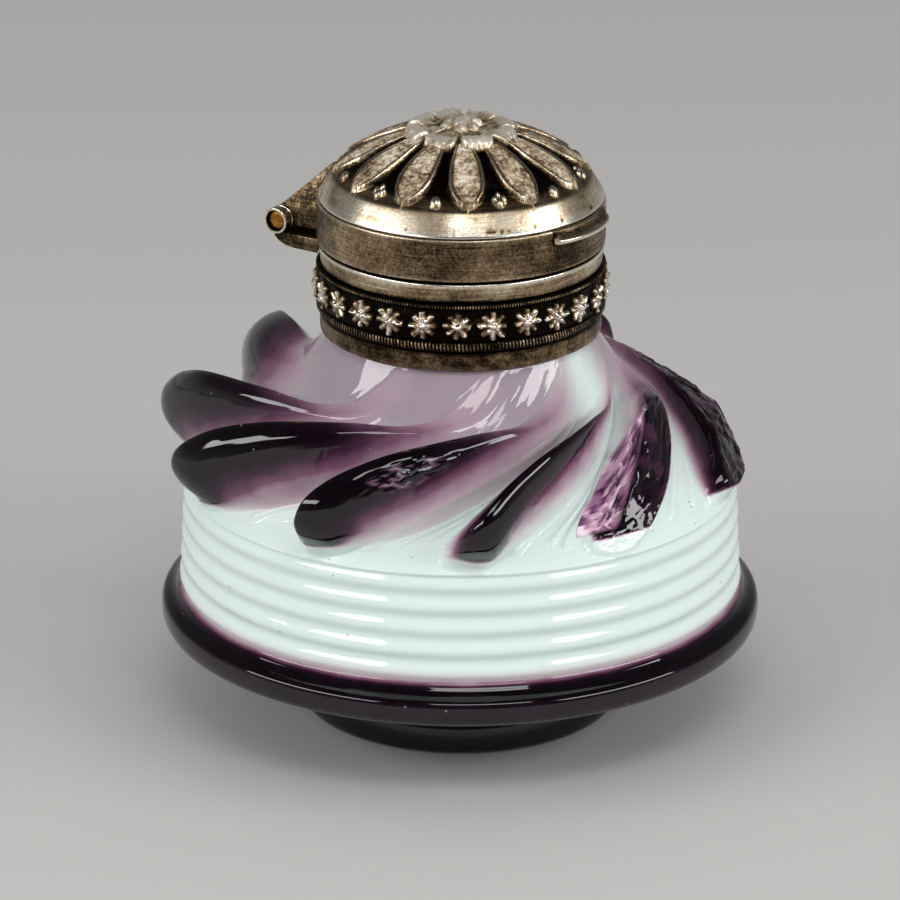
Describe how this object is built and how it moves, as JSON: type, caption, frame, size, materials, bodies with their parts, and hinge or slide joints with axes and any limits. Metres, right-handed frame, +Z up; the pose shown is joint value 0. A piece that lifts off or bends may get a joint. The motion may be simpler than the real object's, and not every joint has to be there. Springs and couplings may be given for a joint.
{
  "type": "travel scent bottle",
  "caption": "Round squat scent bottle of cased opal glass with swirled amethyst petals, a starred silver collar, a hinged domed silver lid and a ground glass stopper.",
  "frame": {"origin": "centre of the flat ground foot, on the surface the bottle stands on", "axes": "+Z up along the bottle's axis, -Y towards the thumb-lift, +Y towards the hinge, +X to the right of someone facing the thumb-lift"},
  "size_m": [0.0616, 0.06, 0.0609],
  "materials": {
    "opal_glass": "gloss",
    "clear_glass": "gloss",
    "plaster": "matte",
    "silver": "satin",
    "gilt_silver": "satin",
    "brass": "satin"
  },
  "bodies": {
    "bottle": {"glass_bottle": "opal_glass", "neck_cement": "plaster", "collar_tube": "silver", "collar_skirt": "silver", "milled_wire_lower": "silver", "star_strip": "silver", "milled_wire_upper": "silver", "collar_rim": "silver", "hinge_plate": "silver", "hinge_knuckle_left": "silver", "hinge_knuckle_right": "silver", "hinge_pin": "brass"},
    "lid": {"lid_band": "silver", "lid_dome": "silver", "lid_rosette": "silver", "thumb_lift": "silver", "lid_liner": "gilt_silver", "lid_knuckle": "silver", "lid_hinge_leaf": "silver"},
    "stopper": {"glass_stopper": "clear_glass"}
  },
  "joints": [
    {"name": "lid_hinge", "type": "hinge", "parent": "bottle", "child": "lid", "pos_m": [0, 0.0173, 0.049], "axis": [-1, 0, 0], "range_deg": [0, 110]},
    {"name": "stopper_lift", "type": "slide", "parent": "bottle", "child": "stopper", "axis": [0, 0, 1], "range_m": [0, 0.016]}
  ],
  "couplings": [
    {"joint": "stopper_lift", "follows": "lid_hinge", "m_per_rad": 0.0083}
  ]
}
